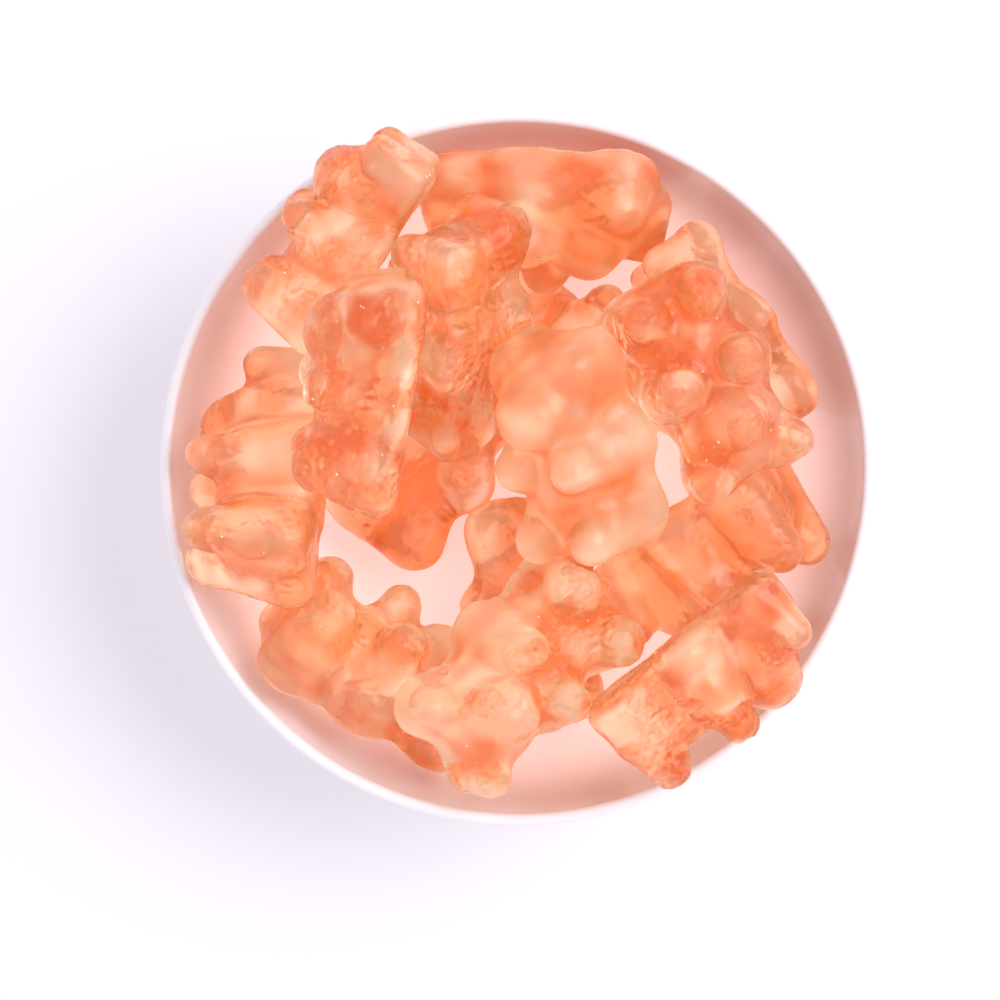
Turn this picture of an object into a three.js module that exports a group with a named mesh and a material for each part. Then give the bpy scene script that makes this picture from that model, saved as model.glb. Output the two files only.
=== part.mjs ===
// A small round bowl heaped with gummy bears. The bears are soft moulded sweets: each was poured into a
// mould of starch, so its back is flat and its ears, snout, arms and legs stand out to the front as rounded
// pegs. They lie in a white glazed dip bowl, each at rest on the bowl and on the bears under it.
// Millimetres, +Z up. The origin is the centre of the bowl's foot, on the table.

import * as THREE from "three";
import { mergeVertices } from "three/addons/utils/BufferGeometryUtils.js";

// Driving dimensions of the bowl.
const bowl = {
  rimRadius: 35, // outside
  height: 26,
  wall: 2.2,
  floorLevel: 4, // inside
  floorRadius: 15, // where the flat floor ends and the wall starts to rise
  underside: 1.4, // how high the middle of the underside stands off the table
  footOuter: 18,
  footInner: 15.4,
  footSlope: 0.4, // how far each side of the foot ring leans over its height
  footRoot: 2, // height at which the ring runs into the wall
  sweep: THREE.MathUtils.degToRad(74), // share of a quarter turn that the wall makes
  wallSteps: 6,
  rimSteps: 4,
  segments: 48,
};

// Driving dimensions of a bear, in its own frame: x across, y from feet to ears, z from flat back to front.
const web = { back: 2.2, front: 0.9, level: 9 }; // radius of the valleys between its lobes, and up to where
const backEdge = 1.2; // radius of the edge round its flat back
const spine = { level: 4.6, reach: 5.8 }; // a line inside it that sees the whole of its skin
const outside = { across: 11, along: 15, over: 13 }; // an egg round the spine that holds the whole bear
const wrapDetail = 5; // the ball that is wrapped onto it has 20 (n + 1)^2 faces
const evening = { rounds: 6, share: 0.5 }; // how its corners are then spread over the skin

// A bear is made of pegs that stand on its back. Each has a place across and along the bear, the levels at
// which its round base and its round tip have their centres, its radii across, along and up, how far the tip
// leans out and up from the base, and the tip's size for the base's.
const bearPegs = [
  { at: [0, -3.6], levels: [3.6, 5.8], radii: [4.8, 7.6, 4.4], lean: [0, 0], taper: 1 }, // belly
  { at: [0, 5.6], levels: [3.8, 6.0], radii: [5.2, 4.9, 4.3], lean: [0, 0], taper: 1 }, // head
  { at: [0, 5.2], levels: [6.6, 10.0], radii: [3.8, 3.5, 3.1], lean: [0, 0], taper: 0.85 }, // snout
  { at: [4.4, 9.2], levels: [2.4, 7.0], radii: [2.4, 2.5, 2.7], lean: [0.4, 0.6], taper: 0.72 }, // ear
  { at: [4.8, -0.2], levels: [2.7, 10.6], radii: [2.9, 2.8, 3.1], lean: [-1.3, 0.1], taper: 0.76 }, // arm
  { at: [4.0, -8.2], levels: [3.0, 9.9], radii: [3.0, 3.1, 3.1], lean: [-0.7, 0.3], taper: 0.78 }, // leg
].flatMap((peg) => (peg.at[0] ? [peg, mirrored(peg)] : [peg]));

function mirrored(peg) {
  return { ...peg, at: [-peg.at[0], peg.at[1]], lean: [-peg.lean[0], peg.lean[1]] };
}

// How each bear lies, from the floor of the bowl up: the place of its middle, the way its head points (in
// degrees from +X), how far it is rolled from its back towards its side, how far its head is raised, its
// size, and how deep it is for its size. The bears then settle, so each of these is where a bear starts and
// what it is drawn back to.
const bears = [
  { name: "floor_left", at: [-6.1, 1.9, 9.9], heading: 62, roll: 180, raised: 0, size: 1.0, deep: 1.0 },
  { name: "floor_front", at: [0.7, -15.3, 11.4], heading: -84, roll: 180, raised: 0, size: 0.98, deep: 1.0 },
  { name: "floor_back", at: [10, 15, 11], heading: 15, roll: 100, raised: 0, size: 1.0, deep: 1.0 },
  { name: "right", at: [26.9, -11.1, 15], heading: 184, roll: 85, raised: 5, size: 0.97, deep: 1.1 },
  { name: "left", at: [-25.9, -4.4, 20.4], heading: 96, roll: 85, raised: 0, size: 1.02, deep: 1.08 },
  { name: "front_left", at: [-23.9, -25.9, 13.3], heading: -47, roll: 35, raised: 0, size: 1.0, deep: 1.0 },
  { name: "back", at: [3.3, 31.7, 25.5], heading: -9, roll: -80, raised: 0, size: 1.0, deep: 0.9 },
  { name: "back_right", at: [18.5, 13, 22], heading: 114, roll: 85, raised: 0, size: 0.96, deep: 1.0 },
  { name: "back_left", at: [-19.3, 23.5, 30.6], heading: 55, roll: 75, raised: 6, size: 0.97, deep: 0.92 },
  { name: "front_right", at: [16.6, -20.3, 24], heading: 27, roll: -90, raised: 0, size: 0.99, deep: 1.0 },
  { name: "front", at: [1.9, -20.4, 28], heading: 218, roll: 30, raised: 0, size: 1.02, deep: 1.0 },
  { name: "middle_back", at: [-5.3, 14.7, 35.8], heading: 98, roll: 130, raised: 5, size: 1.04, deep: 0.95 },
  { name: "top_left", at: [-16.5, 7.9, 40.7], heading: 83, roll: 80, raised: 3, size: 1.0, deep: 0.88 },
  { name: "top_right", at: [17.3, 8.3, 36], heading: -45, roll: 5, raised: -3, size: 0.97, deep: 1.0 },
  { name: "top", at: [4.1, 1.8, 44], heading: 111, roll: 30, raised: 0, size: 1.02, deep: 1.0 },
];
const gap = 0.3; // left between each bear and what it lies on
const glazeWhite = 0xf6f2f3;
const gummyPeach = 0xf6a585;

// How the heap settles, one small move at a time: each bear sinks, is pushed off whatever it presses into,
// and is drawn lightly back to its own place and turn. In the last rounds it is left free.
const settling = {
  rounds: 300,
  sink: 0.35, // the first round's, less in each that follows
  home: 0.08, // share of the way back to its place
  upright: 0.05, // share of the way back to its turn
  lastRounds: 60,
  lastSink: 0.04,
  push: 0.7, // share of a press that is undone
  turn: 1 / 70, // how easily a press turns a bear, in radians for each square millimetre
  longestMove: 1,
  widestTurn: 0.06,
};

// Signed distance, near enough, from a point in the bear's frame to one peg.
function pegDistance({ at, levels, radii, lean, taper }, x, y, z) {
  const share = Math.min(Math.max((z - levels[0]) / (levels[1] - levels[0]), 0), 1);
  const size = 1 - share * (1 - taper);
  const dx = (x - at[0] - share * lean[0]) / (radii[0] * size);
  const dy = (y - at[1] - share * lean[1]) / (radii[1] * size);
  const dz = (z - levels[0] - share * (levels[1] - levels[0])) / (radii[2] * size);
  const toward = Math.hypot(dx, dy, dz);
  const steep = Math.hypot(dx / radii[0], dy / radii[1], dz / radii[2]) / size;
  return steep < 1e-9 ? -radii[0] : (toward * (toward - 1)) / steep;
}

function softMin(a, b, width) {
  const h = Math.max(width - Math.abs(a - b), 0) / width;
  return Math.min(a, b) - (h * h * width) / 4;
}

// The whole bear: the pegs run softly together, and the back is cut flat.
function bearDistance(x, y, z) {
  const radius = THREE.MathUtils.lerp(web.back, web.front, THREE.MathUtils.clamp(z / web.level, 0, 1));
  let d = 100;
  for (const peg of bearPegs) d = softMin(d, pegDistance(peg, x, y, z), radius * 2);
  return -softMin(-d, z, backEdge * 2);
}

// Wraps an evenly divided ball onto the bear, each corner moved straight in towards the spine.
function wrapBear() {
  const ball = new THREE.IcosahedronGeometry(1, wrapDetail);
  ball.deleteAttribute("normal");
  ball.deleteAttribute("uv");
  const geometry = mergeVertices(ball, 1e-4);
  const corners = geometry.getAttribute("position");
  const egg = new THREE.Vector3(outside.across, outside.along, outside.over);
  const corner = new THREE.Vector3();
  const inside = new THREE.Vector3();
  for (let i = 0; i < corners.count; i++) {
    corner.fromBufferAttribute(corners, i).multiply(egg);
    inside.set(0, THREE.MathUtils.clamp(corner.y, -spine.reach, spine.reach), spine.level);
    corner.z += spine.level;
    let near = 0;
    let far = 1;
    for (let halving = 0; halving < 24; halving++) {
      const middle = (near + far) / 2;
      const p = inside.clone().lerp(corner, middle);
      if (bearDistance(p.x, p.y, p.z) < 0) near = middle;
      else far = middle;
    }
    corner.lerpVectors(inside, corner, near);
    corners.setXYZ(i, corner.x, corner.y, corner.z);
  }
  for (let round = 0; round < evening.rounds; round++) evenOut(geometry);
  return geometry;
}

// The way out of a solid at a point: the slope of its distance there.
const nudge = 0.05;
function slope(distance, p) {
  const out = new THREE.Vector3(
    distance(p.x + nudge, p.y, p.z) - distance(p.x - nudge, p.y, p.z),
    distance(p.x, p.y + nudge, p.z) - distance(p.x, p.y - nudge, p.z),
    distance(p.x, p.y, p.z + nudge) - distance(p.x, p.y, p.z - nudge),
  );
  return out.normalize();
}

// Moves each corner some way to the middle of its neighbours, and back onto the skin.
function evenOut(geometry) {
  const corners = geometry.getAttribute("position");
  const index = geometry.getIndex();
  const around = Array.from({ length: corners.count }, () => ({ sum: new THREE.Vector3(), count: 0 }));
  const next = new THREE.Vector3();
  for (let i = 0; i < index.count; i++) {
    const near = around[index.getX(i)];
    near.sum.add(next.fromBufferAttribute(corners, index.getX(i % 3 == 2 ? i - 2 : i + 1)));
    near.count++;
  }
  around.forEach(({ sum, count }, i) => {
    const corner = new THREE.Vector3().fromBufferAttribute(corners, i);
    corner.lerp(sum.divideScalar(count), evening.share);
    corner.addScaledVector(slope(bearDistance, corner), -bearDistance(corner.x, corner.y, corner.z));
    corners.setXYZ(i, corner.x, corner.y, corner.z);
  });
}

// The bowl's profile from the middle of its floor out over the rim and back in under the foot.
function bowlInside(share) {
  const turn = share * bowl.sweep;
  const innerRim = bowl.rimRadius - bowl.wall;
  const reach = (innerRim - bowl.floorRadius) / Math.sin(bowl.sweep);
  const rise = (bowl.height - bowl.wall / 2 - bowl.floorLevel) / (1 - Math.cos(bowl.sweep));
  const point = new THREE.Vector2(
    bowl.floorRadius + reach * Math.sin(turn),
    bowl.floorLevel + rise * (1 - Math.cos(turn)),
  );
  const outward = new THREE.Vector2(rise * Math.sin(turn), -reach * Math.cos(turn)).normalize();
  return { point, outward };
}

function bowlProfile() {
  const inner = [];
  const outer = [];
  for (let i = 0; i <= bowl.wallSteps; i++) {
    const { point, outward } = bowlInside(i / bowl.wallSteps);
    inner.push(point);
    outer.push(point.clone().addScaledVector(outward, bowl.wall));
  }
  const { point, outward } = bowlInside(1);
  const rimCentre = point.clone().addScaledVector(outward, bowl.wall / 2);
  const rim = [];
  for (let i = 1; i < bowl.rimSteps; i++) {
    const turn = (-Math.PI * i) / bowl.rimSteps;
    const spoke = outward.clone().multiplyScalar(-bowl.wall / 2);
    rim.push(spoke.rotateAround(new THREE.Vector2(), turn).add(rimCentre));
  }
  const wallFoot = outer.filter((p) => p.x > bowl.footOuter + 0.5).reverse();
  return [
    new THREE.Vector2(0, bowl.floorLevel),
    ...inner,
    ...rim,
    ...wallFoot,
    new THREE.Vector2(bowl.footOuter, bowl.footRoot),
    new THREE.Vector2(bowl.footOuter - bowl.footSlope, 0),
    new THREE.Vector2(bowl.footInner, 0),
    new THREE.Vector2(bowl.footInner - bowl.footSlope, bowl.underside),
    new THREE.Vector2(0, bowl.underside),
  ];
}

function makeBowl() {
  const profile = bowlProfile().reverse();
  const geometry = new THREE.LatheGeometry(profile, bowl.segments).rotateX(Math.PI / 2);
  return new THREE.Mesh(geometry, new THREE.MeshStandardMaterial({ color: glazeWhite, roughness: 0.2 }));
}

// Signed distance from a point to the bowl: to its inner face, and above that to its round rim. The face is
// taken at the middle of the bowl's flat sides, where it is nearest.
const innerFace = Array.from({ length: 25 }, (_, i) => bowlInside(i / 24).point);
const rimCentre = new THREE.Vector2().addVectors(
  innerFace.at(-1),
  bowlInside(1).outward.clone().multiplyScalar(bowl.wall / 2),
);
function bowlDistance(x, y, z) {
  const r = Math.hypot(x, y) / Math.cos(Math.PI / bowl.segments);
  if (z > rimCentre.y) return Math.hypot(r - rimCentre.x, z - rimCentre.y) - bowl.wall / 2;
  if (r < bowl.floorRadius) return z - bowl.floorLevel;
  let nearest = 100;
  for (let i = 1; i < innerFace.length; i++) {
    const a = innerFace[i - 1];
    const b = innerFace[i];
    const runX = b.x - a.x;
    const runZ = b.y - a.y;
    const share = ((r - a.x) * runX + (z - a.y) * runZ) / (runX * runX + runZ * runZ);
    const held = Math.min(Math.max(share, 0), 1);
    const dx = r - a.x - held * runX;
    const dz = z - a.y - held * runZ;
    const d = Math.hypot(dx, dz) * (runX * dz > runZ * dx ? 1 : -1);
    if (Math.abs(d) < Math.abs(nearest)) nearest = d;
  }
  return nearest;
}

const middle = new THREE.Vector3(0, 0, 6); // of a bear, in its own frame

// The turn of a bear that lies as its entry says: its own axes, seen from the bowl.
function startTurn(lie) {
  const heading = THREE.MathUtils.degToRad(lie.heading);
  const raised = THREE.MathUtils.degToRad(lie.raised);
  const roll = THREE.MathUtils.degToRad(lie.roll);
  const flat = Math.cos(raised);
  const forward = new THREE.Vector3(Math.cos(heading) * flat, Math.sin(heading) * flat, Math.sin(raised));
  const left = new THREE.Vector3(-Math.sin(heading), Math.cos(heading), 0);
  const belly = new THREE.Vector3().crossVectors(forward, left).multiplyScalar(Math.cos(roll));
  belly.addScaledVector(left, Math.sin(roll));
  const across = new THREE.Vector3().crossVectors(forward, belly);
  return new THREE.Quaternion().setFromRotationMatrix(new THREE.Matrix4().makeBasis(across, forward, belly));
}

const skin = wrapBear();
const skinPoints = Array.from({ length: skin.getAttribute("position").count }, (_, i) =>
  new THREE.Vector3().fromBufferAttribute(skin.getAttribute("position"), i),
);

function placeBear(lie) {
  const turn = startTurn(lie);
  const home = new THREE.Vector3(...lie.at);
  return moveBear({ lie, size: lie.size, place: home.clone(), home, turn, homeTurn: turn.clone() });
}

// Works out where the bear's skin is, and the way back from the bowl's frame to its own.
function moveBear(bear) {
  const offset = middle.clone().applyQuaternion(bear.turn).multiplyScalar(-bear.size * bear.lie.deep);
  const scale = new THREE.Vector3(bear.size, bear.size, bear.size * bear.lie.deep);
  bear.pose = new THREE.Matrix4().compose(offset.add(bear.place), bear.turn, scale);
  bear.back = bear.pose.clone().invert();
  bear.points = skinPoints.map((point) => point.clone().applyMatrix4(bear.pose));
  return bear;
}

const reach = { across: 8.5, along: 13.5, under: -1, over: 16 }; // a box round any bear, in its own frame
function depthInBear(bear, point, local) {
  local.copy(point).applyMatrix4(bear.back);
  const beside = Math.abs(local.x) > reach.across || Math.abs(local.y) > reach.along;
  if (beside || local.z < reach.under || local.z > reach.over) return -1;
  return gap - bearDistance(local.x, local.y, local.z) * bear.size;
}

// Gathers what presses a bear off one thing that it touches: which way, how hard it turns, and how deep.
function newPress() {
  return { push: new THREE.Vector3(), twist: new THREE.Vector3(), weight: 0, depth: 0 };
}

const lever = new THREE.Vector3();
function addPress(press, bear, point, out, depth) {
  press.push.addScaledVector(out, depth);
  press.twist.addScaledVector(lever.subVectors(point, bear.place).cross(out), depth);
  press.weight += depth;
  press.depth = Math.max(press.depth, depth);
}

function takePress(bear, press, share) {
  if (press.weight == 0) return;
  const give = (share * settling.push * press.depth) / press.weight;
  bear.step.addScaledVector(press.push, give);
  bear.spin.addScaledVector(press.twist, give * settling.turn);
}

function pressOnBowl(bear) {
  const press = newPress();
  for (const point of bear.points) {
    if (Math.hypot(point.x, point.y) > bowl.rimRadius + 1) continue;
    const depth = gap - bowlDistance(point.x, point.y, point.z);
    if (depth > 0) addPress(press, bear, point, slope(bowlDistance, point), depth);
  }
  takePress(bear, press, 1);
}

// The rim is narrower than the spaces between a bear's points, so points on its crest are tried against the
// bear.
const rimPoints = Array.from({ length: bowl.segments * 12 }, (_, i) => {
  const lean = THREE.MathUtils.degToRad(-60 + 40 * (i % 4));
  const radius = rimCentre.x + (Math.sin(lean) * bowl.wall) / 2;
  const turn = (2 * Math.PI * i) / (bowl.segments * 12);
  const level = rimCentre.y + (Math.cos(lean) * bowl.wall) / 2;
  return new THREE.Vector3(radius * Math.cos(turn), radius * Math.sin(turn), level);
});

const local = new THREE.Vector3();
function pressOnRim(bear) {
  const press = newPress();
  for (const point of rimPoints) {
    const depth = depthInBear(bear, point, local);
    if (depth <= 0) continue;
    addPress(press, bear, point, slope(bearDistance, local).applyQuaternion(bear.turn).negate(), depth);
  }
  takePress(bear, press, 1);
}

function pressOnBear(bear, other) {
  const here = newPress();
  const there = newPress();
  for (const [from, into, sign] of [[bear, other, 1], [other, bear, -1]])
    for (const point of from.points) {
      const depth = depthInBear(into, point, local);
      if (depth <= 0) continue;
      const out = slope(bearDistance, local).applyQuaternion(into.turn).multiplyScalar(sign);
      addPress(here, bear, point, out, depth);
      addPress(there, other, point, out.negate(), depth);
    }
  takePress(bear, here, 0.5);
  takePress(other, there, 0.5);
}

const bearReach = 27; // bears further apart than this can't touch
const turned = new THREE.Quaternion();
function settleRound(heap, sink, drawn) {
  for (const bear of heap) {
    bear.step = new THREE.Vector3().subVectors(bear.home, bear.place).multiplyScalar(settling.home * drawn);
    bear.step.z = -sink;
    bear.spin = new THREE.Vector3();
  }
  heap.forEach((bear, i) => {
    pressOnBowl(bear);
    if (!drawn) pressOnRim(bear);
    for (const other of heap.slice(0, i))
      if (other.place.distanceTo(bear.place) < bearReach) pressOnBear(bear, other);
  });
  for (const bear of heap) {
    bear.place.add(bear.step.clampLength(0, settling.longestMove));
    const angle = Math.min(bear.spin.length(), settling.widestTurn);
    bear.turn.premultiply(turned.setFromAxisAngle(bear.spin.normalize(), angle));
    bear.turn.slerp(bear.homeTurn, settling.upright * drawn);
    moveBear(bear);
  }
}

const heap = bears.map(placeBear);
for (let round = 0; round < settling.rounds; round++)
  settleRound(heap, settling.sink * (1 - round / settling.rounds), 1);
for (let round = 0; round < settling.lastRounds; round++) settleRound(heap, settling.lastSink, 0);

const bowlMesh = makeBowl();
bowlMesh.name = "bowl";
const bearMeshes = heap.map(({ lie, pose }) => {
  const mesh = new THREE.Mesh(skin, new THREE.MeshStandardMaterial({ color: gummyPeach, roughness: 0.4 }));
  mesh.name = `bear_${lie.name}`;
  mesh.applyMatrix4(pose);
  return mesh;
});
const group = new THREE.Group();
group.name = "bowl_of_gummy_bears";
group.add(bowlMesh, ...bearMeshes);

export default group;
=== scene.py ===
import itertools
import math

import bmesh
import bpy
import numpy as np
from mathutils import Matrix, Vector


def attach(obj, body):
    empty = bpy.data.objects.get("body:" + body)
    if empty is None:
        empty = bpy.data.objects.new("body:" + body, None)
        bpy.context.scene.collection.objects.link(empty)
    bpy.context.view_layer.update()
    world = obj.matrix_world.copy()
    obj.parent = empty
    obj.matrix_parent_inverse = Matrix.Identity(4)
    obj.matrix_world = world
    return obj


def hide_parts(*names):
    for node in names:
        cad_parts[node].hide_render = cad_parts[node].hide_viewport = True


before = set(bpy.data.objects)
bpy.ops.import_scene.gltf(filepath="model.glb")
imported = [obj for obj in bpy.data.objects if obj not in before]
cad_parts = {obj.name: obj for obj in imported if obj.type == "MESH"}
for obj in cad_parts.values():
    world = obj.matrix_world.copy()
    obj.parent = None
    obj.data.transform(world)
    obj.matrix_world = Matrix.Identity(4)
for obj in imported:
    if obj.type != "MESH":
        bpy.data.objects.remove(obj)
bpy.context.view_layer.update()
mm = 0.001


def newObject(name, points, faces, smooth=True):
    mesh = bpy.data.meshes.new(name)
    points = np.asarray(points, np.float32)
    faces = [tuple(face) for face in faces]
    mesh.from_pydata(points.tolist(), [], faces)
    mesh.update()
    mesh.polygons.foreach_set("use_smooth", [smooth] * len(mesh.polygons))
    piece = bpy.data.objects.new(name, mesh)
    bpy.context.scene.collection.objects.link(piece)
    return piece


def finishPiece(piece, material, slot, *nodes):
    piece.data.materials.clear()
    piece.data.materials.append(material)
    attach(piece, "root")
    if nodes:
        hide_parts(*nodes)


def lumps(points, size, seed):  # smooth noise in space, about -1 to 1
    cells = 32
    table = np.random.default_rng(seed).uniform(-1, 1, (cells, cells, cells))
    spot = points / size + seed * 0.37  # each seed has its own corner of the table
    cell = np.floor(spot).astype(int)
    share = spot - cell
    share = share * share * (3 - 2 * share)
    total = np.zeros(len(points))
    for corner in itertools.product((0, 1), repeat=3):
        weight = np.prod(np.where(corner, share, 1 - share), axis=1)
        at = (cell + corner) % cells
        total += weight * table[at[:, 0], at[:, 1], at[:, 2]]
    return total * 1.6


def ease(low, high, x):
    share = np.clip((x - low) / (high - low), 0, 1)
    return share * share * (3 - 2 * share)


class Wire:  # a socket that plain Python operators work on
    def __init__(self, finish, socket):
        self.finish = finish
        self.socket = socket

    def math(self, operation, first, second):
        return self.finish.node("ShaderNodeMath", {"operation": operation}, {0: first, 1: second})

    def __add__(self, other):
        return self.math("ADD", self, other)

    def __radd__(self, other):
        return self.math("ADD", other, self)

    def __mul__(self, other):
        return self.math("MULTIPLY", self, other)

    def __rmul__(self, other):
        return self.math("MULTIPLY", other, self)


class Finish:  # one material and its nodes
    def __init__(self, name):
        self.material = bpy.data.materials.new(name)
        self.material.use_nodes = True
        self.tree = self.material.node_tree
        self.tree.nodes.clear()
        self.material.cycles.emission_sampling = "NONE"  # a glow isn't sampled as a lamp, to save time

    def node(self, kind, settings=None, sockets=None, out=0):
        made = self.tree.nodes.new(kind)
        for key, value in (settings or {}).items():
            setattr(made, key, value)
        for key, value in (sockets or {}).items():
            if isinstance(value, Wire):
                self.tree.links.new(value.socket, made.inputs[key])
            else:
                made.inputs[key].default_value = value
        return Wire(self, made.outputs[out]) if len(made.outputs) else made

    def mix(self, share, first, second):  # of two colours
        return self.node("ShaderNodeMix", {"data_type": "RGBA"}, {0: share, 6: first, 7: second}, out=2)


def linear(red, green, blue):  # a colour as seen on screen, 0 to 255
    parts = [c / 255 for c in (red, green, blue)]
    return tuple(c / 12.92 if c <= 0.04045 else ((c + 0.055) / 1.055) ** 2.4 for c in parts) + (1.0,)


camera = {"centre": (-1.78 * mm, -3.17 * mm), "height": 400 * mm, "lens": 136.0}


def makeCamera():
    data = bpy.data.cameras.new("camera")
    data.lens = camera["lens"]
    data.sensor_width = 36
    data.clip_start = 0.01
    made = bpy.data.objects.new("camera", data)
    made.location = (*camera["centre"], camera["height"])
    bpy.context.scene.collection.objects.link(made)
    bpy.context.scene.camera = made


bowl = {
    "rimRadius": 35.6 * mm,
    "height": 26 * mm,
    "wall": 2.2 * mm,
    "lip": 1.3 * mm,  # the wall thins to this at the rim
    "floorLevel": 4 * mm,
    "floorRadius": 15 * mm,
    "underside": 1.4 * mm,
    "footOuter": 18 * mm,
    "footInner": 15.4 * mm,
    "footSlope": 0.4 * mm,
    "footRoot": 2 * mm,
    "sweep": math.radians(74),
    "wallSteps": 48,
    "rimSteps": 16,
    "segments": 192,
    "glaze": linear(236, 231, 234),
    "paintedBounce": linear(252, 243, 242),  # painted bounce light: the sweets' colour reflected onto the glaze, all but the rim
    "paintedWallGlow": linear(222, 204, 206),  # painted glow that lightens the shaded inside of the ware, all but the rim
    "paintedWallGlowStrength": 0.6,
    "paintedLightZone": (0.0405, 0.030),  # how far from the origin the painted bounce light and painted glow start, and where they are full
    "roughness": 0.22,
    "gloss": 0.3,
    "ripple": {"scale": 90.0, "height": 0.4 * mm, "strength": 0.05},
}


def bowlProfile(b):
    reach = (b["rimRadius"] - b["wall"] - b["floorRadius"]) / math.sin(b["sweep"])
    rise = (b["height"] - b["wall"] / 2 - b["floorLevel"]) / (1 - math.cos(b["sweep"]))
    inner, outer = [], []
    for i in range(b["wallSteps"] + 1):
        turn = b["sweep"] * i / b["wallSteps"]
        out = np.array([rise * math.sin(turn), -reach * math.cos(turn)])
        out /= np.hypot(*out)
        point = np.array([
            b["floorRadius"] + reach * math.sin(turn),
            b["floorLevel"] + rise * (1 - math.cos(turn)),
        ])
        thinned = (b["wall"] - b["lip"]) * (i / b["wallSteps"]) ** 2
        inner.append(point + out * thinned)
        outer.append(point + out * b["wall"])
    centre = (inner[-1] + outer[-1]) / 2
    spoke = inner[-1] - centre
    rim = []
    for i in range(1, b["rimSteps"]):
        turn = -math.pi * i / b["rimSteps"]
        c, s = math.cos(turn), math.sin(turn)
        rim.append(centre + np.array([c * spoke[0] - s * spoke[1], s * spoke[0] + c * spoke[1]]))
    foot = [
        (b["footOuter"], b["footRoot"]),
        (b["footOuter"] - b["footSlope"] * 0.8, 0.3 * mm),
        (b["footOuter"] - b["footSlope"] - 0.3 * mm, 0),
        (b["footInner"] + 0.3 * mm, 0),
        (b["footInner"], 0.3 * mm),
        (b["footInner"] - b["footSlope"], b["underside"]),
        (0, b["underside"]),
    ]
    wallFoot = [p for p in reversed(outer) if p[0] > b["footOuter"] + 0.3 * mm]
    return [(0, b["floorLevel"]), *inner, *rim, *wallFoot, *foot]


def makeBowl():
    profile = bowlProfile(bowl)
    count = bowl["segments"]
    points = [(0, 0, profile[0][1])]
    for radius, level in profile[1:-1]:
        for i in range(count):
            turn = 2 * math.pi * i / count
            points.append((radius * math.cos(turn), radius * math.sin(turn), level))
    points.append((0, 0, profile[-1][1]))
    faces = []
    last = len(points) - 1
    for i in range(count):
        j = (i + 1) % count
        faces.append((0, 1 + i, 1 + j))
        for ring in range(len(profile) - 3):
            a, b = 1 + ring * count, 1 + (ring + 1) * count
            faces.append((a + i, b + i, b + j, a + j))
        a = 1 + (len(profile) - 3) * count
        faces.append((last, a + j, a + i))
    return newObject("glazed_bowl", points, faces)


def glazeFinish():
    f = Finish("white_glaze")
    place = f.node("ShaderNodeTexCoord", out="Object")
    radius = f.node("ShaderNodeVectorMath", {"operation": "LENGTH"}, {0: place}, out="Value")
    ripple = bowl["ripple"]
    waves = f.node("ShaderNodeTexNoise", None, {"Vector": place, "Scale": ripple["scale"], "Detail": 3.0})
    start, full = bowl["paintedLightZone"]
    paintedLightZone = f.node("ShaderNodeMapRange", {"interpolation_type": "SMOOTHSTEP"}, {
        "Value": radius, "From Min": start, "From Max": full, "To Min": 0.0, "To Max": 1.0,
    })
    # painted bounce light from the sweets, pink on the inside of the bowl
    colour = f.mix(paintedLightZone, bowl["glaze"], bowl["paintedBounce"])
    # painted glow on the inside of the bowl, though it is no lamp
    paintedWallGlow = f.mix(paintedLightZone, (0.0, 0.0, 0.0, 1.0), bowl["paintedWallGlow"])
    bump = f.node("ShaderNodeBump", None, {
        "Height": waves, "Strength": ripple["strength"], "Distance": ripple["height"],
    })
    shader = f.node("ShaderNodeBsdfPrincipled", None, {
        "Base Color": colour, "Roughness": bowl["roughness"], "IOR": 1.5,
        "Coat Weight": bowl["gloss"], "Coat Roughness": 0.08,
        "Emission Color": paintedWallGlow, "Emission Strength": bowl["paintedWallGlowStrength"], "Normal": bump,
    })
    f.node("ShaderNodeOutputMaterial", None, {"Surface": shader})
    return f.material


# The form of a bear is worked out in its own frame and in millimetres.
def pegPair(x, *rest, lean=(0, 0), taper=1.0):
    return [[sign * x, *rest, sign * lean[0], lean[1], taper] for sign in ((1, -1) if x else (1,))]


def bearPegs(ears, arms, legs):  # x across, y from feet to ears, levels of base and tip, three radii
    return [
        *pegPair(0, -3.6, 3.6, 5.8, 4.8, 7.6, 4.4),  # belly
        *pegPair(0, 5.6, 3.8, 6.0, 5.2, 4.9, 4.3),  # head
        *pegPair(0, 5.2, 6.6, 10.0, 3.8, 3.5, 3.1, taper=0.85),  # snout
        *pegPair(ears[0], ears[1], 2.4, ears[2], 2.4, 2.5, 2.7, lean=(0.4, 0.6), taper=0.72),
        *pegPair(arms[0], arms[1], 2.7, arms[2], 2.9, 2.8, 3.1, lean=(-1.3, 0.1), taper=0.76),
        *pegPair(legs[0], legs[1], 3.0, legs[2], 3.0, 3.1, 3.1, lean=(-0.7, 0.3), taper=0.78),
    ]


bear = {
    "pegs": bearPegs((4.4, 9.2, 7.0), (4.8, -0.2, 10.6), (4.0, -8.2, 9.9)),
    "web": 2.2,  # radius of the valleys between the lobes at the back, and at the front
    "valley": 0.9,
    "front": 9,  # level where the valleys are narrowest
    "backEdge": 1.2,
    "spine": (4.6, 5.8),  # level, reach
    "egg": (11, 15, 13),
    "middle": 6.0,
    "levels": 7,
    "buriedLevels": 6,  # for the lower layer of bears
    "buried": (
        "bear_floor_left", "bear_floor_front", "bear_floor_back", "bear_back_right",
        "bear_right", "bear_left", "bear_front_left", "bear_back",
    ),
    "halvings": 16,  # how often the way from the spine to the skin is halved
    "evening": 8,
}

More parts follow.
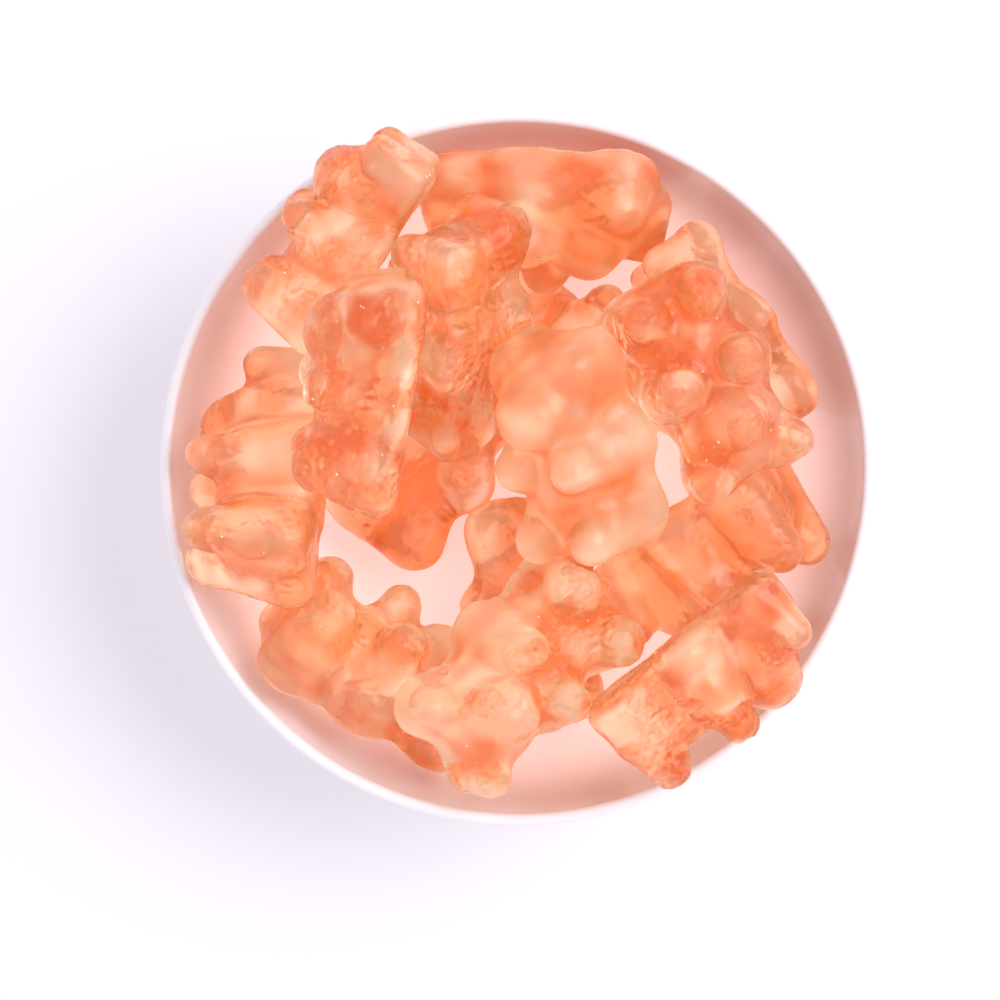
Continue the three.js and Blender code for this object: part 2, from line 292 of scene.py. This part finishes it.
forms = {  # bears that came out of the mould softer than the rest
    "bear_top": {
        "pegs": bearPegs((3.6, 8.2, 5.9), (4.6, -0.4, 9.6), (3.9, -8.1, 9.4)), "web": 2.4, "valley": 0.9,
    },
    "bear_top_left": {
        "pegs": bearPegs((3.3, 8.0, 6.2), (4.5, 0.2, 9.9), (3.4, -7.6, 9.7)), "web": 3.0, "valley": 1.0,
    },
    "bear_back": {"web": 3.6, "valley": 1.4},
}


def softMin(a, b, width):
    h = np.maximum(width - np.abs(a - b), 0) / width
    return np.minimum(a, b) - h * h * width / 4


def bearField(p, form=bear):  # signed distance, near enough
    x, y, z = p.T
    field = np.full(len(p), 100.0)
    valley = form["web"] + (form["valley"] - form["web"]) * np.clip(z / form["front"], 0, 1)
    for px, py, base, tip, across, along, up, leanX, leanY, taper in form["pegs"]:
        share = np.clip((z - base) / (tip - base), 0, 1)
        d = np.stack([x - px - share * leanX, y - py - share * leanY, z - base - share * (tip - base)])
        size = np.array([[across], [along], [up]]) * (1 - share * (1 - taper))
        toward = np.sqrt(((d / size) ** 2).sum(0))
        steep = np.sqrt(((d / size ** 2) ** 2).sum(0)) + 1e-9
        field = softMin(field, toward * (toward - 1) / steep, valley * 2)
    return -softMin(-field, z, form["backEdge"] * 2)


def fieldSlope(p, form):
    nudge = 0.02
    steps = np.eye(3) * nudge
    slope = np.stack([bearField(p + s, form) - bearField(p - s, form) for s in steps], axis=1)
    return slope / (2 * nudge)


def wrapBall(form):  # a divided ball drawn onto the bear
    work = bmesh.new()
    bmesh.ops.create_icosphere(work, subdivisions=form["levels"], radius=1)
    ball = np.array([v.co for v in work.verts])
    faces = np.array([[v.index for v in f.verts] for f in work.faces])
    work.free()
    level, reach = form["spine"]
    corner = ball * form["egg"]
    inside = np.zeros_like(corner)
    inside[:, 1] = np.clip(corner[:, 1], -reach, reach)
    inside[:, 2] = level
    corner[:, 2] += level
    near, far = np.zeros(len(ball)), np.ones(len(ball))
    for halving in range(form["halvings"]):
        middle = (near + far) / 2
        held = bearField(inside + (corner - inside) * middle[:, None], form) < 0
        near = np.where(held, middle, near)
        far = np.where(held, far, middle)
    skin = inside + (corner - inside) * near[:, None]
    return evenOut(skin, faces, form), faces


def evenOut(skin, faces, form):  # spreads the corners over the skin
    pairs = np.concatenate([faces[:, [0, 1]], faces[:, [1, 2]], faces[:, [2, 0]]])
    count = np.bincount(pairs[:, 0], minlength=len(skin)).astype(float)
    for pull in range(form["evening"]):
        total = np.stack([
            np.bincount(pairs[:, 0], weights=skin[pairs[:, 1], axis], minlength=len(skin))
            for axis in range(3)
        ], axis=1)
        skin = skin + 0.6 * (total / count[:, None] - skin)
        slope = fieldSlope(skin, form)
        steep = (slope ** 2).sum(1, keepdims=True) + 1e-6
        skin = skin - np.clip(bearField(skin, form)[:, None] / steep, -0.5, 0.5) * slope
    return skin


# How each bear lies is read from its solid.
def solidCorners(name):
    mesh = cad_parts[name].data
    corners = np.empty(len(mesh.vertices) * 3, np.float32)
    mesh.vertices.foreach_get("co", corners)
    return np.unique(corners.reshape(-1, 3).round(6), axis=0).astype(float) / mm


def rotation(vector):
    angle = np.linalg.norm(vector) + 1e-12
    x, y, z = vector / angle
    cross = np.array([[0, -z, y], [z, 0, -x], [-y, x, 0]])
    return np.eye(3) + math.sin(angle) * cross + (1 - math.cos(angle)) * cross @ cross


def intoBear(pose, points):
    local = (points - pose["place"]) @ pose["turn"] / pose["size"]
    return local / (1, 1, pose["deep"])


def outOfBear(pose, local):
    return pose["place"] + (local * pose["size"] * (1, 1, pose["deep"])) @ pose["turn"].T


def moved(pose, step):
    return {
        "turn": rotation(step[:3]) @ pose["turn"],
        "place": pose["place"] + step[3:6],
        "size": pose["size"] + step[6],
        "deep": pose["deep"] + step[7],
    }


fit = {"steps": 14, "careful": 6, "longest": 0.3, "nudge": 1e-4, "damping": 1e-3}


def readPose(corners):
    nudges = np.eye(8) * fit["nudge"]
    centre = corners.mean(0)
    axes = np.linalg.eigh(np.cov((corners - centre).T))[1]
    best, least = None, 1e9
    for thick, up, front in itertools.product((0, 1), (1, -1), (1, -1)):
        forward, belly = axes[:, 2] * up, axes[:, thick] * front
        turn = np.column_stack([np.cross(forward, belly), forward, belly])
        pose = {"turn": turn, "place": centre - belly * bear["middle"], "size": 1.0, "deep": 1.0}
        for attempt in range(fit["steps"]):
            miss = bearField(intoBear(pose, corners))
            slopes = np.stack([
                (bearField(intoBear(moved(pose, nudge), corners)) - miss) / fit["nudge"] for nudge in nudges
            ], axis=1)
            step = np.linalg.solve(slopes.T @ slopes + fit["damping"] * np.eye(8), -slopes.T @ miss)
            if attempt < fit["careful"]:
                step = np.clip(step, -fit["longest"], fit["longest"])
            pose = moved(pose, step)
        error = np.abs(bearField(intoBear(pose, corners))).mean()
        if error < least:
            best, least = pose, error
    return best, least


gummy = {
    "pale": linear(255, 236, 211),
    "deep": linear(243, 160, 100),
    "paleGlow": linear(255, 190, 140),  # painted glow, standing in for the light that the flesh scatters back out
    "deepGlow": linear(236, 108, 56),
    "glow": {"peach_gummy": 0.095, "milky_gummy": 0.13},
    "clear": {"peach_gummy": 0.93, "milky_gummy": 0.78},  # how much of the flesh is clear jelly
    "milkyBears": ("bear_top", "bear_front", "bear_back"),
    "milk": (9.0 * mm, 4.2 * mm, 2.4 * mm),  # how far each colour of light wanders in the rest of it
    "roughness": 0.24,
    "rougher": 0.1,  # where the skin is gritty
    "grit": {"scale": 1400.0, "detail": 0.5, "height": 0.5 * mm, "strength": 0.8},
    "thread": {"size": 0.8, "narrow": 4.5, "shade": 0.55},  # fine dark lines in the grit
    "swell": 0.2,  # mm, how uneven the smooth skin is
    "dent": 0.09,
    "hollow": 0.35,  # mm, how far the flat back sinks inside its rim
    "crackle": 0.2,  # mm, the starch grain pressed into the skin
    "looks": {  # how deep the colour of each is, and how gritty its skin, from 0 to 1; the deeper colours of the bears low in the heap are partly painted shade, for the light that reaches them through the bears above
        "bear_top": (0.55, 0.15), "bear_top_left": (0.72, 1.0), "bear_top_right": (0.45, 0.8),
        "bear_front": (0.3, 0.9), "bear_back_left": (0.7, 0.8), "bear_middle_back": (0.5, 1.0),
        "bear_front_right": (0.62, 1.0), "bear_right": (0.85, 0.4), "bear_left": (0.68, 0.6),
        "bear_front_left": (0.62, 0.7), "bear_back": (1.0, 0.4), "bear_back_right": (0.75, 0.8),
        "bear_floor_back": (0.72, 0.7), "bear_floor_left": (1.2, 0.5), "bear_floor_front": (0.65, 0.5),
    },
}


def gummyFinish(name):
    f = Finish(name)
    place = f.node("ShaderNodeTexCoord", out="Object")
    depth = f.node("ShaderNodeAttribute", {"attribute_name": "depth"}, out="Fac")
    grain = f.node("ShaderNodeAttribute", {"attribute_name": "grain"}, out="Fac")
    grit = gummy["grit"]
    fine = f.node("ShaderNodeTexNoise", None, {
        "Vector": place, "Scale": grit["scale"], "Detail": grit["detail"],
    })
    # the pale-to-deep mix follows the depth attribute, which holds painted light as well as the jelly's own
    # mottling
    colour = f.mix(depth, gummy["pale"], gummy["deep"])
    # painted glow in the flesh, though it is no lamp, pale or deep by the same mix as the colour
    glow = f.mix(depth, gummy["paleGlow"], gummy["deepGlow"])
    bump = f.node("ShaderNodeBump", None, {
        "Height": fine * grain, "Strength": grit["strength"], "Distance": grit["height"],
    })
    shader = f.node("ShaderNodeBsdfPrincipled", None, {
        "Base Color": colour, "Roughness": gummy["roughness"] + grain * gummy["rougher"],
        "IOR": 1.44, "Transmission Weight": gummy["clear"][name],
        "Subsurface Weight": 1.0, "Subsurface Radius": gummy["milk"], "Subsurface Scale": 1.0,
        "Emission Color": glow, "Emission Strength": gummy["glow"][name], "Normal": bump,
    })
    f.node("ShaderNodeOutputMaterial", None, {"Surface": shader})
    return f.material


# this drives the painted paleness of the thin limbs, light shining through the jelly
def bodyDepth(skin, form):  # 1 over the belly and head, falling to 0 at the ends of the limbs
    x, y, z = skin.T
    near = np.full(len(skin), 100.0)
    for px, py, base, tip, across, along, up, *rest in form["pegs"][:2]:
        d = np.stack([(x - px) / across, (y - py) / along, (z - np.clip(z, base, tip)) / up])
        near = np.minimum(near, (np.sqrt((d ** 2).sum(0)) - 1) * up)
    return 1 - ease(0.2, 3.2, near)


def addRelief(skin, form, seed, gritty):  # what the starch mould leaves on one bear, in its own frame
    slope = fieldSlope(skin, form)
    out = slope / np.linalg.norm(slope, axis=1, keepdims=True)
    z = skin[:, 2]
    within = -bearField(np.column_stack([skin[:, :2], np.full(len(skin), 3.0)]), form)
    back = ease(1.3, 0.4, z)
    hollow = back * ease(0.7, 2.4, within) * gummy["hollow"]
    front = ease(7.5, 11.0, z)
    patch = ease(-0.05, 0.45, lumps(skin, 3.2, seed + 40))
    faced = front * (0.25 + 0.75 * patch) + back * (0.3 + 0.7 * patch)
    grain = gritty * np.clip(faced + patch * 0.7, 0.05, 1)
    crackle = 0.5 - np.abs(lumps(skin, 1.1, seed + 60)) - 0.6 * np.abs(lumps(skin, 0.6, seed + 80))
    thread = gummy["thread"]
    lines = np.clip(1 - thread["narrow"] * np.abs(lumps(skin, thread["size"], seed + 90)), 0, 1)
    rise = lumps(skin, 6.0, seed + 20) * gummy["swell"] + lumps(skin, 2.2, seed + 30) * gummy["dent"]
    rise = rise + crackle * grain * gummy["crackle"] - hollow
    return skin + out * rise[:, None], grain, lines * grain * thread["shade"]


def makeBears(finishes):
    usual = {}
    for levels in (bear["levels"], bear["buriedLevels"]):
        usual[levels] = wrapBall({**bear, "levels": levels})
    made = []
    for seed, name in enumerate(sorted(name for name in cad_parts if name.startswith("bear_"))):
        form = {**bear, **forms.get(name, {})}
        if name in bear["buried"]:
            form["levels"] = bear["buriedLevels"]
        skin, faces = wrapBall(form) if name in forms else usual[form["levels"]]
        body = bodyDepth(skin, form)
        pose, miss = readPose(solidCorners(name))
        tone, gritty = gummy["looks"][name]
        relief, grain, lines = addRelief(skin, form, seed, gritty)
        points = outOfBear(pose, relief) * mm
        piece = newObject("gummy_" + name, points, faces)
        cloud = (lumps(skin, 3.5, seed + 100) * 0.5 + lumps(skin, 1.6, seed + 120) * 0.3) * (0.2 + gritty)
        # painted light: the colour deepens over the thick belly and head and pales at the thin limb ends,
        # where light shines through; the cloud, grit and thread terms are the jelly's own mottling
        depth = tone + 0.75 * (body - 0.7) + cloud + 0.7 * (grain - 0.3 * gritty) + lines
        depth = np.clip(depth, -0.1, 1.5)
        for key, values in {"depth": depth, "grain": grain}.items():
            attribute = piece.data.attributes.new(key, "FLOAT", "POINT")
            attribute.data.foreach_set("value", values.astype(np.float32))
        finish = "milky_gummy" if name in gummy["milkyBears"] else "peach_gummy"
        finishPiece(piece, finishes[finish], "gummy", name)
        made.append(piece)
        print(f"{name}: size {pose['size']:.3f}, deep {pose['deep']:.3f}, miss {miss:.5f} mm", flush=True)
    return made


crumbs = {
    "beds": (
        "bear_top_left", "bear_top_right", "bear_left", "bear_front_left", "bear_back_left", "bear_front",
    ),
    "steepest": 0.55,  # how far from level the skin under a crumb may be
    "share": 0.0012,  # of the corners of the skin that carry one
    "radius": 0.13 * mm,
    "smallest": 0.45,
    "seed": 11,
    "white": linear(253, 240, 228),
}


def crumbFinish():
    f = Finish("starch")
    place = f.node("ShaderNodeTexCoord", out="Object")
    powder = f.node("ShaderNodeTexNoise", None, {"Vector": place, "Scale": 9000.0})
    bump = f.node("ShaderNodeBump", None, {"Height": powder, "Strength": 0.6, "Distance": 0.00005})
    shader = f.node("ShaderNodeBsdfPrincipled", None, {
        "Base Color": crumbs["white"], "Roughness": 0.9, "Normal": bump,
    })
    f.node("ShaderNodeOutputMaterial", None, {"Surface": shader})
    return f.material


def scatterGroup(material):  # grains on a share of the points it is given
    group = bpy.data.node_groups.new("scatter_grains", "GeometryNodeTree")
    face = group.interface
    face.new_socket("Geometry", in_out="INPUT", socket_type="NodeSocketGeometry")
    for name, kind in (("Share", "Float"), ("Radius", "Float"), ("Smallest", "Float"), ("Seed", "Int")):
        face.new_socket(name, in_out="INPUT", socket_type="NodeSocket" + kind)
    face.new_socket("Geometry", in_out="OUTPUT", socket_type="NodeSocketGeometry")

    def node(kind, **settings):
        made = group.nodes.new(kind)
        for key, value in settings.items():
            setattr(made, key, value)
        return made

    def draw(first, name, second, other):
        group.links.new(first.outputs[name], second.inputs[other])

    given = node("NodeGroupInput")
    chosen = node("FunctionNodeRandomValue", data_type="BOOLEAN")
    draw(given, "Share", chosen, "Probability")
    draw(given, "Seed", chosen, "Seed")
    turn = node("FunctionNodeRandomValue", data_type="FLOAT_VECTOR")
    turn.inputs["Max"].default_value = (2 * math.pi, 2 * math.pi, 2 * math.pi)
    draw(given, "Seed", turn, "Seed")
    squash = node("FunctionNodeRandomValue", data_type="FLOAT_VECTOR")
    squash.inputs["Max"].default_value = (1, 1, 1)
    draw(given, "Smallest", squash, "Min")
    draw(given, "Seed", squash, "Seed")
    grain = node("GeometryNodeMeshIcoSphere")
    grain.inputs["Subdivisions"].default_value = 2
    draw(given, "Radius", grain, "Radius")
    spread = node("GeometryNodeInstanceOnPoints")
    draw(given, "Geometry", spread, "Points")
    group.links.new(chosen.outputs[3], spread.inputs["Selection"])
    draw(grain, "Mesh", spread, "Instance")
    group.links.new(turn.outputs[0], spread.inputs["Rotation"])
    group.links.new(squash.outputs[0], spread.inputs["Scale"])
    real = node("GeometryNodeRealizeInstances")
    draw(spread, "Instances", real, "Geometry")
    coat = node("GeometryNodeSetMaterial")
    coat.inputs["Material"].default_value = material
    draw(real, "Geometry", coat, "Geometry")
    draw(coat, "Geometry", node("NodeGroupOutput"), "Geometry")
    return group


def makeCrumbs(beds, material):
    points = []
    for bed in beds:
        mesh = bed.data
        places = np.empty(len(mesh.vertices) * 3, np.float32)
        mesh.vertices.foreach_get("co", places)
        facing = np.empty(len(mesh.vertices) * 3, np.float32)
        mesh.vertex_normals.foreach_get("vector", facing)
        level = facing.reshape(-1, 3)[:, 2] > crumbs["steepest"]
        points.append(places.reshape(-1, 3)[level])
    bed = newObject("crumb_bed", np.concatenate(points), [])
    group = scatterGroup(material)
    spread = bed.modifiers.new("scatter", "NODES")
    spread.node_group = group
    sockets = {item.name: item.identifier for item in group.interface.items_tree if item.in_out == "INPUT"}
    for name, key in (("Share", "share"), ("Radius", "radius"), ("Smallest", "smallest"), ("Seed", "seed")):
        spread[sockets[name]] = crumbs[key]
    bpy.context.view_layer.update()
    mesh = bpy.data.meshes.new_from_object(bed.evaluated_get(bpy.context.evaluated_depsgraph_get()))
    bpy.data.objects.remove(bed)
    piece = bpy.data.objects.new("starch_crumbs", mesh)
    bpy.context.scene.collection.objects.link(piece)
    mesh.polygons.foreach_set("use_smooth", [True] * len(mesh.polygons))
    finishPiece(piece, material, "gummy")
    return len(mesh.polygons)


studio = {
    "floor": linear(232, 230, 234),
    "half": 1.5,  # of the floor's side
    "sky": (0.95, 0.93, 1.0, 1.0),
    "skyStrength": 1.0,
    "bounces": 7,  # enough for the jelly, and it keeps a render short
    "key": {"at": (0.38, 0.14, 0.57), "size": 0.5, "watts": 2.8, "colour": (1.0, 0.97, 0.94)},
}


def makeStudio():
    half = studio["half"]
    corners = [(-half, -half, 0), (half, -half, 0), (half, half, 0), (-half, half, 0)]
    floor = newObject("floor", corners, [(0, 1, 2, 3)])
    f = Finish("pale_floor")
    shader = f.node("ShaderNodeBsdfPrincipled", None, {"Base Color": studio["floor"], "Roughness": 0.8})
    f.node("ShaderNodeOutputMaterial", None, {"Surface": shader})
    floor.data.materials.append(f.material)
    world = bpy.data.worlds.new("studio")
    world.use_nodes = True
    background = world.node_tree.nodes["Background"]
    background.inputs["Color"].default_value = studio["sky"]
    background.inputs["Strength"].default_value = studio["skyStrength"]
    bpy.context.scene.world = world
    key = studio["key"]
    data = bpy.data.lights.new("key", "AREA")
    data.shape = "DISK"
    data.size = key["size"]
    data.energy = key["watts"]
    data.color = key["colour"]
    lamp = bpy.data.objects.new("key", data)
    lamp.location = key["at"]
    lamp.rotation_euler = (-Vector(key["at"])).to_track_quat("-Z", "Y").to_euler()
    bpy.context.scene.collection.objects.link(lamp)
    scene = bpy.context.scene
    scene.view_settings.view_transform = "Standard"
    scene.cycles.max_bounces = studio["bounces"]
    scene.cycles.transmission_bounces = studio["bounces"]
    scene.cycles.use_light_tree = False
    world.cycles.sampling_method = "NONE"


makeCamera()
makeStudio()
print("camera and studio made", flush=True)
bowlPiece = makeBowl()
finishPiece(bowlPiece, glazeFinish(), "glazed_ceramic", "bowl")
print("bowl made", flush=True)
bears = makeBears({name: gummyFinish(name) for name in gummy["clear"]})
print("bears made", flush=True)
beds = [piece for piece in bears if piece.name.removeprefix("gummy_") in crumbs["beds"]]
print("crumbs made:", makeCrumbs(beds, crumbFinish()), "faces", flush=True)
